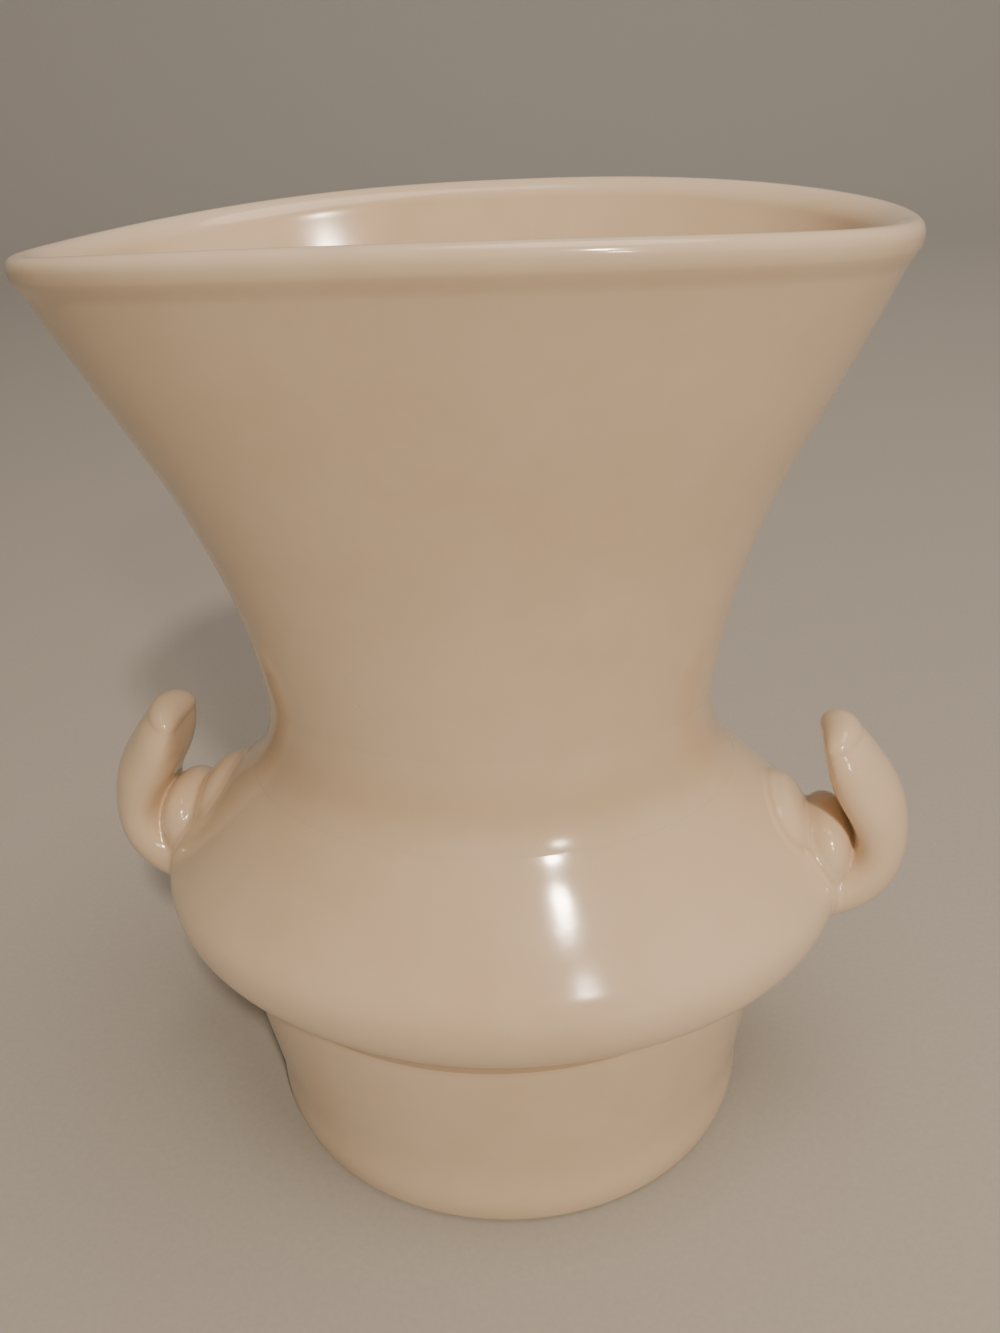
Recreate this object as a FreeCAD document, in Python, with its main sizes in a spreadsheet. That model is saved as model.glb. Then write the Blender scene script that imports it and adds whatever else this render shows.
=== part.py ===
import FreeCAD, Part
import math
import os
import Sketcher

# Porcelain vase: drum foot, squat oval belly, flared oval neck and a scroll
# handle with an inner leaf on each side. X runs through the two handles,
# Y across the oval, Z up from the face that the foot rests on.

V = FreeCAD.Vector
os.makedirs("parts", exist_ok=True)
doc = FreeCAD.newDocument("vase")

# ---------------------------------------------------------------- dimensions
sheet = doc.addObject("Spreadsheet::Sheet", "Dims")
row = [0]


def dim(alias, value, note=""):
    row[0] += 1
    sheet.set("A%d" % row[0], alias)
    sheet.set("B%d" % row[0], "%.4f" % value)
    sheet.setAlias("B%d" % row[0], alias)
    if note:
        sheet.set("C%d" % row[0], note)


dim("height_total", 152.0, "table to the middle of the lip")
dim("rim_drop", 2.9, "how much lower the lip is at the two ends of the oval")
dim("wall_neck", 3.6, "horizontal wall of the neck low down")
dim("wall_lip", 4.6, "horizontal wall of the neck at the lip")
dim("wall_bowl", 4.3, "wall of the belly")
dim("wall_foot", 4.6, "wall of the foot")
dim("lip_round", 1.8, "rounding of the two edges of the lip")
dim("lute", 0.6, "thickness of the slip between two sections")
dim("foot_recess", 2.6, "depth of the hollow under the foot")
dim("foot_land", 5.2, "width of the bare ring that the foot rests on")
dim("foot_floor", 4.2, "thickness of the floor inside the foot")
dim("seat_depth", 2.6, "depth of the stepped seats of the sections")
dim("collar_a", 41.3, "collar of the belly, half length")
dim("collar_b", 37.3, "collar of the belly, half width")
dim("spigot_a", 33.2, "spigot of the neck, half length")
dim("spigot_b", 25.1, "spigot of the neck, half width")
dim("tip_x", 56.3, "middle of the scroll's rounded tip, out from the axis")
dim("tip_z", 72.3, "middle of the scroll's rounded tip, above the table")
dim("tip_long", 3.2, "half length of the rounding of the tip")
dim("tip_thick", 3.0, "half thickness of the rounding of the tip")
dim("tip_wide", 6.3, "half width of the rounding of the tip")
dim("lobe_out_x", 54.9)
dim("lobe_out_z", 52.1)
dim("lobe_out_len", 7.5, "half length of the outer lobe of the leaf")
dim("lobe_out_thick", 4.6)
dim("lobe_out_wide", 9.0)
dim("lobe_out_lean", 3.0)
dim("lobe_in_x", 48.3)
dim("lobe_in_z", 55.4)
dim("lobe_in_len", 7.7, "half length of the inner lobe of the leaf")
dim("lobe_in_thick", 4.3)
dim("lobe_in_wide", 9.6)
dim("lobe_in_lean", -14.0)

# Oval sections: height, half length along X, half width along Y.
FOOT = [(0.0, 40.2, 37.0), (1.2, 41.6, 38.4), (4.0, 42.2, 39.0), (9.0, 42.3, 39.1),
        (17.0, 43.2, 39.8), (26.0, 44.6, 41.1), (33.5, 45.8, 42.1), (38.8, 46.4, 42.6)]
BOWL = [(39.4, 47.6, 42.6), (40.4, 51.9, 44.0), (42.0, 54.9, 45.0), (44.2, 56.7, 45.7),
        (47.0, 57.3, 46.0), (50.0, 56.6, 45.5), (53.5, 54.0, 43.3), (57.0, 50.7, 40.6),
        (61.0, 46.8, 37.3), (65.0, 42.7, 33.9), (69.0, 38.9, 30.6), (73.0, 36.3, 28.2)]
NECK = [(73.6, 35.3, 27.2), (81.5, 35.9, 27.4), (89.5, 37.1, 28.1), (97.5, 38.8, 29.3),
        (105.5, 41.2, 30.9), (113.5, 44.1, 33.0), (121.5, 47.6, 35.3), (129.5, 51.5, 37.9),
        (137.5, 55.3, 40.6), (145.5, 58.9, 43.4), (152.0, 61.4, 46.1)]
for tag, table in (("foot", FOOT), ("bowl", BOWL), ("neck", NECK)):
    for i, (z, a, b) in enumerate(table):
        dim("%s_z_%d" % (tag, i), z)
        dim("%s_a_%d" % (tag, i), a)
        dim("%s_b_%d" % (tag, i), b)

# Middle line of the scroll: out, up, lean of the section in degrees from
# level, half thickness, half width.
SCROLL = [(49.5, 46.3, 82.0, 5.6, 9.8), (58.2, 46.8, 64.0, 5.2, 9.6),
          (62.4, 50.6, 27.0, 4.7, 9.3), (63.4, 56.2, -4.0, 4.4, 9.0),
          (61.8, 61.6, -26.0, 4.7, 8.8), (59.2, 66.2, -29.0, 4.6, 8.4),
          (57.4, 70.0, -25.0, 3.8, 7.6), (56.4, 72.2, -24.0, 3.1, 6.4)]
for i, (x, z, lean, thick, wide) in enumerate(SCROLL):
    dim("scroll_x_%d" % i, x)
    dim("scroll_z_%d" % i, z)
    dim("scroll_lean_%d" % i, lean)
    dim("scroll_thick_%d" % i, thick)
    dim("scroll_wide_%d" % i, wide)
doc.recompute()


def val(alias):
    return float(sheet.get(alias))


# ------------------------------------------------------------------- helpers
def origin_plane(body, role):
    for f in body.Origin.OriginFeatures:
        if f.Role == role:
            return f
    raise RuntimeError(role)


def new_body(name):
    body = doc.addObject("PartDesign::Body", name)
    body.Label = name
    return body


def oval_sketch(body, name, z_expr, a_expr, b_expr, a0, b0):
    """An oval centred on the axis, at a height, on the body's own XY plane."""
    sk = body.newObject("Sketcher::SketchObject", name)
    sk.AttachmentSupport = [(origin_plane(body, "XY_Plane"), "")]
    sk.MapMode = "FlatFace"
    sk.addGeometry(Part.Ellipse(V(a0, 0, 0), V(0, b0, 0), V(0, 0, 0)), False)
    sk.exposeInternalGeometry(0)
    sk.addConstraint(Sketcher.Constraint("Coincident", 0, 3, -1, 1))
    sk.addConstraint(Sketcher.Constraint("Horizontal", 1))
    i = sk.addConstraint(Sketcher.Constraint("Distance", 1, 2 * a0))
    j = sk.addConstraint(Sketcher.Constraint("Distance", 2, 2 * b0))
    sk.renameConstraint(i, "along")
    sk.renameConstraint(j, "across")
    sk.setExpression("Constraints.along", "2 * (%s)" % a_expr)
    sk.setExpression("Constraints.across", "2 * (%s)" % b_expr)
    sk.setExpression("AttachmentOffset.Base.z", z_expr)
    return sk


def loft(body, kind, name, sketches):
    f = body.newObject("PartDesign::" + kind, name)
    f.Profile = sketches[0]
    f.Sections = sketches[1:]
    f.Ruled = False
    f.Closed = False
    for s in sketches:
        s.Visibility = False
    return f


def oval_stack(body, tag, name, indices, less="0"):
    out = []
    for i in indices:
        z, a, b = {"foot": FOOT, "bowl": BOWL, "neck": NECK}[tag][i]
        w = 0 if less == "0" else 4.0
        out.append(oval_sketch(body, "%s_%d" % (name, i), "Dims.%s_z_%d" % (tag, i),
                               "Dims.%s_a_%d - %s" % (tag, i, less),
                               "Dims.%s_b_%d - %s" % (tag, i, less), a - w, b - w))
    return out


def pad(body, name, sketch, length_expr, reverse=False):
    f = body.newObject("PartDesign::Pad", name)
    f.Profile = sketch
    f.Type = 0
    f.Length = 1.0
    f.Reversed = reverse
    f.setExpression("Length", length_expr)
    sketch.Visibility = False
    return f


def pocket(body, name, sketch, length_expr, reverse=False):
    """Cuts down from the sketch, or up from it when reverse is set."""
    before = body.Shape.Volume if body.Shape and not body.Shape.isNull() else 0.0
    f = body.newObject("PartDesign::Pocket", name)
    f.Profile = sketch
    f.Type = 0
    f.Length = 1.0
    f.Reversed = reverse
    f.setExpression("Length", length_expr)
    sketch.Visibility = False
    doc.recompute()
    if not body.Shape.Volume < before - 1.0:
        raise RuntimeError("pocket %s cut nothing" % name)
    return f


# ---------------------------------------------------------------------- foot
foot = new_body("foot")
loft(foot, "AdditiveLoft", "foot_outside", oval_stack(foot, "foot", "foot_oval", range(len(FOOT))))
doc.recompute()
# hollow inside, from the floor up to the seat
cav = [oval_sketch(foot, "foot_cave_0", "Dims.foot_recess + Dims.foot_floor",
                   "Dims.foot_a_3 - Dims.wall_foot - 2.2", "Dims.foot_b_3 - Dims.wall_foot - 2.2", 35.7, 32.4),
       oval_sketch(foot, "foot_cave_1", "Dims.foot_recess + Dims.foot_floor + 2",
                   "Dims.foot_a_3 - Dims.wall_foot", "Dims.foot_b_3 - Dims.wall_foot", 37.9, 34.6),
       oval_sketch(foot, "foot_cave_2", "Dims.foot_z_5",
                   "Dims.foot_a_4 - Dims.wall_foot", "Dims.foot_b_4 - Dims.wall_foot", 38.6, 35.1),
       oval_sketch(foot, "foot_cave_3", "Dims.foot_z_7",
                   "Dims.foot_a_4 - Dims.wall_foot + 0.4", "Dims.foot_b_4 - Dims.wall_foot + 0.4", 39.0, 35.5)]
vol = foot.Shape.Volume
loft(foot, "SubtractiveLoft", "foot_inside", cav)
doc.recompute()
if not foot.Shape.Volume < vol - 1000.0:
    raise RuntimeError("foot_inside cut nothing")
# stepped seat for the belly's collar
sk = oval_sketch(foot, "foot_seat_oval", "Dims.foot_z_7", "Dims.collar_a + Dims.lute",
                 "Dims.collar_b + Dims.lute", 41.9, 37.9)
pocket(foot, "foot_seat", sk, "Dims.seat_depth + Dims.lute")
# shallow hollow underneath, which leaves the ring that the vase rests on
sk = oval_sketch(foot, "foot_hollow_oval", "0 * Dims.foot_recess", "Dims.foot_a_0 - Dims.foot_land",
                 "Dims.foot_b_0 - Dims.foot_land", 35.2, 32.0)
pocket(foot, "foot_hollow", sk, "Dims.foot_recess", True)

# ---------------------------------------------------------------------- bowl
bowl = new_body("bowl")
loft(bowl, "AdditiveLoft", "bowl_outside", oval_stack(bowl, "bowl", "bowl_oval", range(len(BOWL))))
doc.recompute()
# collar that drops into the foot's seat
sk = oval_sketch(bowl, "bowl_collar_oval", "Dims.bowl_z_0", "Dims.collar_a", "Dims.collar_b", 41.3, 37.3)
pad(bowl, "bowl_collar", sk, "Dims.bowl_z_0 - Dims.foot_z_7 + Dims.seat_depth", True)
doc.recompute()
# inside of the belly
cav = [oval_sketch(bowl, "bowl_cave_0", "Dims.bowl_z_1", "Dims.collar_a - 2.6", "Dims.collar_b - 2.6", 38.7, 34.7),
       oval_sketch(bowl, "bowl_cave_1", "Dims.bowl_z_2 + 0.6", "Dims.bowl_a_1 - Dims.wall_bowl",
                   "Dims.bowl_b_1 - Dims.wall_bowl - 1.2", 46.0, 37.9),
       oval_sketch(bowl, "bowl_cave_2", "Dims.bowl_z_4 - 0.4", "Dims.bowl_a_3 - Dims.wall_bowl",
                   "Dims.bowl_b_3 - Dims.wall_bowl", 52.0, 41.4),
       oval_sketch(bowl, "bowl_cave_3", "Dims.bowl_z_5", "Dims.bowl_a_5 - Dims.wall_bowl",
                   "Dims.bowl_b_5 - Dims.wall_bowl", 52.7, 41.4),
       oval_sketch(bowl, "bowl_cave_4", "Dims.bowl_z_7", "Dims.bowl_a_7 - Dims.wall_bowl - 1.2",
                   "Dims.bowl_b_7 - Dims.wall_bowl - 1.2", 45.5, 35.2),
       oval_sketch(bowl, "bowl_cave_5", "Dims.bowl_z_8", "Dims.bowl_a_8 - Dims.wall_bowl - 1.2",
                   "Dims.bowl_b_8 - Dims.wall_bowl - 1.2", 41.4, 31.7),
       oval_sketch(bowl, "bowl_cave_6", "Dims.bowl_z_9", "Dims.bowl_a_9 - Dims.wall_bowl - 1.2",
                   "Dims.bowl_b_9 - Dims.wall_bowl - 1.2", 37.4, 28.3),
       oval_sketch(bowl, "bowl_cave_7", "Dims.bowl_z_10 + 1.0", "Dims.spigot_a - 0.9",
                   "Dims.spigot_b - 0.9", 32.3, 24.2)]
vol = bowl.Shape.Volume
loft(bowl, "SubtractiveLoft", "bowl_inside", cav)
doc.recompute()
if not bowl.Shape.Volume < vol - 1000.0:
    raise RuntimeError("bowl_inside cut nothing")
# throat down through the collar, and the seat for the neck's spigot
sk = oval_sketch(bowl, "bowl_throat_oval", "Dims.bowl_z_1 + 0.2", "Dims.collar_a - 2.6", "Dims.collar_b - 2.6", 38.7, 34.7)
pocket(bowl, "bowl_throat", sk, "8")
sk = oval_sketch(bowl, "bowl_seat_oval", "Dims.bowl_z_11", "Dims.spigot_a + Dims.lute",
                 "Dims.spigot_b + Dims.lute", 33.8, 25.7)
pocket(bowl, "bowl_seat", sk, "Dims.seat_depth + Dims.lute")

# ---------------------------------------------------------------------- neck
neck = new_body("neck")
loft(neck, "AdditiveLoft", "neck_outside", oval_stack(neck, "neck", "neck_oval", range(len(NECK))))
doc.recompute()
sk = oval_sketch(neck, "neck_spigot_oval", "Dims.neck_z_0", "Dims.spigot_a", "Dims.spigot_b", 33.2, 25.1)
pad(neck, "neck_spigot", sk, "Dims.seat_depth + Dims.neck_z_0 - Dims.bowl_z_11", True)
doc.recompute()
cav = oval_stack(neck, "neck", "neck_cave", range(5), "Dims.wall_neck")
cav += oval_stack(neck, "neck", "neck_cave", range(5, 11), "Dims.wall_lip")
vol = neck.Shape.Volume
loft(neck, "SubtractiveLoft", "neck_inside", cav)
doc.recompute()
if not neck.Shape.Volume < vol - 1000.0:
    raise RuntimeError("neck_inside cut nothing")
sk = oval_sketch(neck, "neck_bore_oval", "Dims.neck_z_0 + 0.5", "Dims.spigot_a - 1.9", "Dims.spigot_b - 1.9", 31.3, 23.2)
pocket(neck, "neck_bore", sk, "8")

# The lip is not level: it is highest in the middle of the long sides and
# lower over the handles, so a shallow arc trims the top.
half = 72.0
a_top = NECK[-1][1]
r_arc = a_top ** 2 / (2 * val("rim_drop"))
z_top = val("height_total")
sk = neck.newObject("Sketcher::SketchObject", "neck_saddle")
sk.AttachmentSupport = [(origin_plane(neck, "XZ_Plane"), "")]
sk.MapMode = "FlatFace"
drop = r_arc - math.sqrt(r_arc ** 2 - half ** 2)
p0, p1 = V(-half, z_top - drop, 0), V(half, z_top - drop, 0)
ang = math.asin(half / r_arc)
sk.addGeometry(Part.ArcOfCircle(Part.Circle(V(0, z_top - r_arc, 0), V(0, 0, 1), r_arc),
                                math.pi / 2 - ang, math.pi / 2 + ang), False)
q0, q1 = V(half, z_top + 12, 0), V(-half, z_top + 12, 0)
sk.addGeometry(Part.LineSegment(p1, q0), False)
sk.addGeometry(Part.LineSegment(q0, q1), False)
sk.addGeometry(Part.LineSegment(q1, p0), False)
sk.addConstraint(Sketcher.Constraint("Coincident", 0, 1, 1, 1))
sk.addConstraint(Sketcher.Constraint("Coincident", 1, 2, 2, 1))
sk.addConstraint(Sketcher.Constraint("Coincident", 2, 2, 3, 1))
sk.addConstraint(Sketcher.Constraint("Coincident", 3, 2, 0, 2))
sk.addConstraint(Sketcher.Constraint("PointOnObject", 0, 3, -2))
i = sk.addConstraint(Sketcher.Constraint("Radius", 0, r_arc))
sk.renameConstraint(i, "sweep")
sk.setExpression("Constraints.sweep", "Dims.neck_a_10 * Dims.neck_a_10 / (2 * Dims.rim_drop)")
i = sk.addConstraint(Sketcher.Constraint("DistanceY", -1, 1, 0, 3, z_top - r_arc))
sk.renameConstraint(i, "crown")
sk.setExpression("Constraints.crown",
                 "Dims.height_total - Dims.neck_a_10 * Dims.neck_a_10 / (2 * Dims.rim_drop)")
sk.addConstraint(Sketcher.Constraint("DistanceX", 2, 1, -1, 1, -half))
sk.addConstraint(Sketcher.Constraint("DistanceX", -1, 1, 2, 2, -half))
sk.addConstraint(Sketcher.Constraint("DistanceY", -1, 1, 2, 1, z_top + 12))
sk.addConstraint(Sketcher.Constraint("DistanceY", -1, 1, 2, 2, z_top + 12))
sk.addConstraint(Sketcher.Constraint("Vertical", 1))
vol = neck.Shape.Volume
cut = neck.newObject("PartDesign::Pocket", "neck_saddle_trim")
cut.Profile = sk
cut.Type = 0
cut.Length = 160
cut.Midplane = True
sk.Visibility = False
doc.recompute()
if not neck.Shape.Volume < vol - 10.0:
    raise RuntimeError("neck_saddle_trim cut nothing")

# round the two edges of the lip
rim_edges = []
for n, e in enumerate(neck.Shape.Edges):
    bb = e.BoundBox
    if bb.ZMin > z_top - val("rim_drop") - 1.0:
        rim_edges.append("Edge%d" % (n + 1))
lip = neck.newObject("PartDesign::Fillet", "lip_rounding")
lip.Base = (cut, rim_edges)
lip.Radius = val("lip_round")
lip.setExpression("Radius", "Dims.lip_round")
doc.recompute()

# -------------------------------------------------------------- luting rings
foot_ring = new_body("foot_luting_ring")
sk = oval_sketch(foot_ring, "foot_ring_oval", "Dims.foot_z_7", "Dims.bowl_a_0 + 0.2", "Dims.bowl_b_0 + 0.2", 46.8, 42.1)
pad(foot_ring, "foot_ring_washer", sk, "Dims.bowl_z_0 - Dims.foot_z_7")
sk = oval_sketch(foot_ring, "foot_ring_sleeve_oval", "Dims.foot_z_7", "Dims.collar_a + Dims.lute",
                 "Dims.collar_b + Dims.lute", 41.9, 37.9)
pad(foot_ring, "foot_ring_sleeve", sk, "Dims.seat_depth + Dims.lute", True)
doc.recompute()
sk = oval_sketch(foot_ring, "foot_ring_bore_oval", "Dims.bowl_z_0", "Dims.collar_a", "Dims.collar_b", 41.3, 37.3)
pocket(foot_ring, "foot_ring_bore", sk, "Dims.bowl_z_0 - Dims.foot_z_7 + Dims.seat_depth")
sk = oval_sketch(foot_ring, "foot_ring_hole_oval", "Dims.foot_z_7", "Dims.collar_a - 2.3", "Dims.collar_b - 2.3", 39.0, 35.0)
pocket(foot_ring, "foot_ring_hole", sk, "8")

neck_ring = new_body("neck_luting_body")
ring = [oval_sketch(neck_ring, "neck_ring_0", "Dims.bowl_z_11", "Dims.bowl_a_11", "Dims.bowl_b_11", 36.6, 28.4),
        oval_sketch(neck_ring, "neck_ring_1", "Dims.bowl_z_11 + 0.9", "Dims.bowl_a_11 - 0.2",
                    "Dims.bowl_b_11 - 0.2", 36.1, 28.0),
        oval_sketch(neck_ring, "neck_ring_2", "Dims.bowl_z_11 + 2.0", "Dims.neck_a_0 + 0.65",
                    "Dims.neck_b_0 + 0.65", 35.95, 27.85),
        oval_sketch(neck_ring, "neck_ring_3", "Dims.bowl_z_11 + 3.6", "Dims.neck_a_0 + 0.55",
                    "Dims.neck_b_0 + 0.55", 35.85, 27.75)]
loft(neck_ring, "AdditiveLoft", "neck_ring_bead", ring)
doc.recompute()
sk = oval_sketch(neck_ring, "neck_ring_sleeve_oval", "Dims.bowl_z_11", "Dims.spigot_a + Dims.lute",
                 "Dims.spigot_b + Dims.lute", 33.8, 25.7)
pad(neck_ring, "neck_ring_sleeve", sk, "Dims.seat_depth + Dims.lute", True)
doc.recompute()
sk = oval_sketch(neck_ring, "neck_ring_bore_oval", "Dims.bowl_z_11 + 6", "Dims.spigot_a - 0.8",
                 "Dims.spigot_b - 0.8", 32.4, 24.3)
pocket(neck_ring, "neck_ring_bore", sk, "14")
neck_ring_cut = doc.addObject("Part::Cut", "neck_luting_cut")
neck_ring_cut.Base = neck_ring
neck_ring_cut.Tool = neck

# ------------------------------------------------- belly surface for the roots
def oval_object(name, z_expr, a_expr, b_expr):
    o = doc.addObject("Part::Ellipse", name)
    o.MajorRadius = 500.0
    o.setExpression("MajorRadius", a_expr)
    o.setExpression("MinorRadius", b_expr)
    o.setExpression("Placement.Base.z", z_expr)
    o.Visibility = False
    return o


def belly_form(name, more):
    objs = []
    for i in range(len(BOWL)):
        objs.append(oval_object("%s_oval_%d" % (name, i), "Dims.bowl_z_%d" % i,
                                "Dims.bowl_a_%d + %s" % (i, more), "Dims.bowl_b_%d + %s" % (i, more)))
    f = doc.addObject("Part::Loft", name)
    f.Sections = objs
    f.Solid = True
    f.Ruled = False
    f.Visibility = False
    return f


belly = belly_form("belly_form", "0")
belly_plus = belly_form("belly_form_slip", "Dims.lute")


# ------------------------------------------------------------------- handles
def scroll(name, more, last):
    objs = []
    for i in range(last):
        o = doc.addObject("Part::Ellipse", "%s_oval_%d" % (name, i))
        o.MajorRadius = 500.0
        # long axis across the vase, short axis in the plane of the scroll
        o.setExpression("MajorRadius", "Dims.scroll_wide_%d + %s" % (i, more))
        o.setExpression("MinorRadius", "Dims.scroll_thick_%d + %s" % (i, more))
        lean = SCROLL[i][2]
        # section plane leans by the angle, measured from level
        o.Placement = FreeCAD.Placement(V(0, 0, 0), FreeCAD.Rotation(V(0, 1, 0), lean).multiply(
            FreeCAD.Rotation(V(0, 0, 1), 90)))
        o.setExpression("Placement.Base.x", "Dims.scroll_x_%d" % i)
        o.setExpression("Placement.Base.z", "Dims.scroll_z_%d" % i)
        o.Visibility = False
        objs.append(o)
    f = doc.addObject("Part::Loft", name)
    f.Sections = objs
    f.Solid = True
    f.Ruled = False
    f.Visibility = False
    return f


def ellipsoid(name, x, z, up, out, wide, lean, more="0"):
    o = doc.addObject("Part::Ellipsoid", name)
    o.Radius1 = 1.0
    o.Radius2 = 2.0
    o.Radius3 = 3.0
    o.setExpression("Radius1", "%s + %s" % (up, more))
    o.setExpression("Radius2", "%s + %s" % (out, more))
    o.setExpression("Radius3", "%s + %s" % (wide, more))
    o.Placement = FreeCAD.Placement(V(0, 0, 0), FreeCAD.Rotation(V(0, 1, 0), lean))
    o.setExpression("Placement.Base.x", x)
    o.setExpression("Placement.Base.z", z)
    o.Visibility = False
    return o


def fuse(name, shapes):
    f = doc.addObject("Part::MultiFuse", name)
    f.Shapes = shapes
    f.Refine = False
    return f


def cut_by(name, base, tool):
    f = doc.addObject("Part::Cut", name)
    f.Base = base
    f.Tool = tool
    f.Refine = False
    return f


def common(name, a, b):
    f = doc.addObject("Part::Common", name)
    f.Base = a
    f.Tool = b
    f.Refine = False
    return f


strap = scroll("scroll_strap", "0", len(SCROLL))
tip = ellipsoid("scroll_tip", "Dims.tip_x", "Dims.tip_z", "Dims.tip_long", "Dims.tip_thick",
                "Dims.tip_wide", -24.0)
scroll_whole = fuse("scroll_whole", [strap, tip])
handle_right = cut_by("handle_right", scroll_whole, belly_plus)

lean_out, lean_in = val("lobe_out_lean"), val("lobe_in_lean")
lobe_out = ellipsoid("lobe_outer", "Dims.lobe_out_x", "Dims.lobe_out_z", "Dims.lobe_out_len",
                     "Dims.lobe_out_thick", "Dims.lobe_out_wide", lean_out)
lobe_in = ellipsoid("lobe_inner", "Dims.lobe_in_x", "Dims.lobe_in_z", "Dims.lobe_in_len",
                    "Dims.lobe_in_thick", "Dims.lobe_in_wide", lean_in)
leaf_whole = fuse("leaf_whole", [lobe_out, lobe_in])
leaf_off_belly = cut_by("leaf_off_belly", leaf_whole, belly_plus)
leaf_right = cut_by("leaf_right", leaf_off_belly, scroll_whole)

# slip pad under both roots, a little wider than the roots
root_wide = scroll("root_wide", "0.9", 4)
lobe_out_wide = ellipsoid("lobe_outer_wide", "Dims.lobe_out_x", "Dims.lobe_out_z", "Dims.lobe_out_len",
                          "Dims.lobe_out_thick", "Dims.lobe_out_wide", lean_out, "0.9")
lobe_in_wide = ellipsoid("lobe_inner_wide", "Dims.lobe_in_x", "Dims.lobe_in_z", "Dims.lobe_in_len",
                         "Dims.lobe_in_thick", "Dims.lobe_in_wide", lean_in, "0.9")
pad_whole = fuse("pad_whole", [root_wide, lobe_out_wide, lobe_in_wide])
pad_skin = common("pad_skin", pad_whole, belly_plus)
pad_right = cut_by("handle_luting_right", pad_skin, belly)


def mirror(name, src):
    m = doc.addObject("Part::Mirroring", name)
    m.Source = src
    m.Base = V(0, 0, 0)
    m.Normal = V(1, 0, 0)
    return m


handle_left = mirror("handle_left", handle_right)
leaf_left = mirror("leaf_left", leaf_right)
pad_left = mirror("handle_luting_left", pad_right)
doc.recompute()

# -------------------------------------------------------------------- export
nodes = {
    "foot": foot,
    "foot_luting_ring": foot_ring,
    "bowl": bowl,
    "neck_luting_ring": neck_ring_cut,
    "neck": neck,
    "handle_right": handle_right,
    "handle_left": handle_left,
    "leaf_right": leaf_right,
    "leaf_left": leaf_left,
    "handle_luting_right": pad_right,
    "handle_luting_left": pad_left,
}
for o in doc.Objects:
    if "Invalid" in o.State or "Error" in o.State:
        raise RuntimeError("object %s failed: %s" % (o.Name, o.State))
for name, obj in nodes.items():
    obj.Label = name
    s = obj.Shape
    if s.isNull() or not s.isValid():
        raise RuntimeError("bad shape for " + name)
    if not s.Solids:
        raise RuntimeError("no solid in " + name)
    print(name, "solids", len(s.Solids), "vol %.1f" % s.Volume,
          "box", [round(v, 2) for v in (s.BoundBox.XMin, s.BoundBox.YMin, s.BoundBox.ZMin,
                                         s.BoundBox.XMax, s.BoundBox.YMax, s.BoundBox.ZMax)])
for name, obj in nodes.items():
    obj.Shape.exportStep(os.path.join("parts", name + ".step"))
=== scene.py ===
import math

import bpy
import numpy as np
from mathutils import Matrix, Vector


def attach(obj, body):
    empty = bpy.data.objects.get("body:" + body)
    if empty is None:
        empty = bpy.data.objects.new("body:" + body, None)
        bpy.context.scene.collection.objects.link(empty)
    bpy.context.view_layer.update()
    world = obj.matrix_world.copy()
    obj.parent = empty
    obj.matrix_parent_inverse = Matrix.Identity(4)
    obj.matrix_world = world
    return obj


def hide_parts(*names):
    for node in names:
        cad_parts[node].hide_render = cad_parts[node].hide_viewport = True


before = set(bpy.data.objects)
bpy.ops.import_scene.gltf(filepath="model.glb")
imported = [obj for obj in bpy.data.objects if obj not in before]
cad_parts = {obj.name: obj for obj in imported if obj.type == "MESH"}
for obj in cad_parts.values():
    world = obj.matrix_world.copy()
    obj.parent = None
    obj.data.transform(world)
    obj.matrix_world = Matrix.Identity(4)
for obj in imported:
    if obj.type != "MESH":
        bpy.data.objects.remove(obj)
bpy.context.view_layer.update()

MM = 0.001
H = 0.152

# ---------------------------------------------------------------- the sections
# Oval sections as in the CAD source: height, half length, half width, in mm.
FOOT = [(1.2, 41.6, 38.4), (4.0, 42.2, 39.0), (9.0, 42.3, 39.1),
        (17.0, 43.2, 39.8), (26.0, 44.6, 41.1), (33.5, 45.8, 42.1), (38.8, 46.4, 42.6)]
BOWL = [(39.4, 47.6, 42.6), (40.4, 51.9, 43.9), (42.0, 54.9, 44.9), (44.2, 56.65, 45.6),
        (47.0, 57.2, 45.85), (50.0, 56.5, 45.4), (53.5, 54.0, 43.3), (57.0, 50.7, 40.6),
        (61.0, 46.8, 37.3), (65.0, 42.7, 33.9), (69.0, 38.9, 30.6), (73.0, 36.3, 28.2)]
NECK = [(73.6, 35.3, 27.2), (81.5, 35.9, 27.4), (89.5, 37.1, 28.1), (97.5, 38.8, 29.3),
        (105.5, 41.2, 30.9), (113.5, 44.1, 33.0), (121.5, 47.6, 35.3), (129.5, 51.5, 37.9),
        (137.5, 55.2, 40.6), (145.5, 58.6, 43.4), (152.0, 60.9, 46.0)]
RIM_DROP = 2.9
Z_LIP = 151.95


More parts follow.
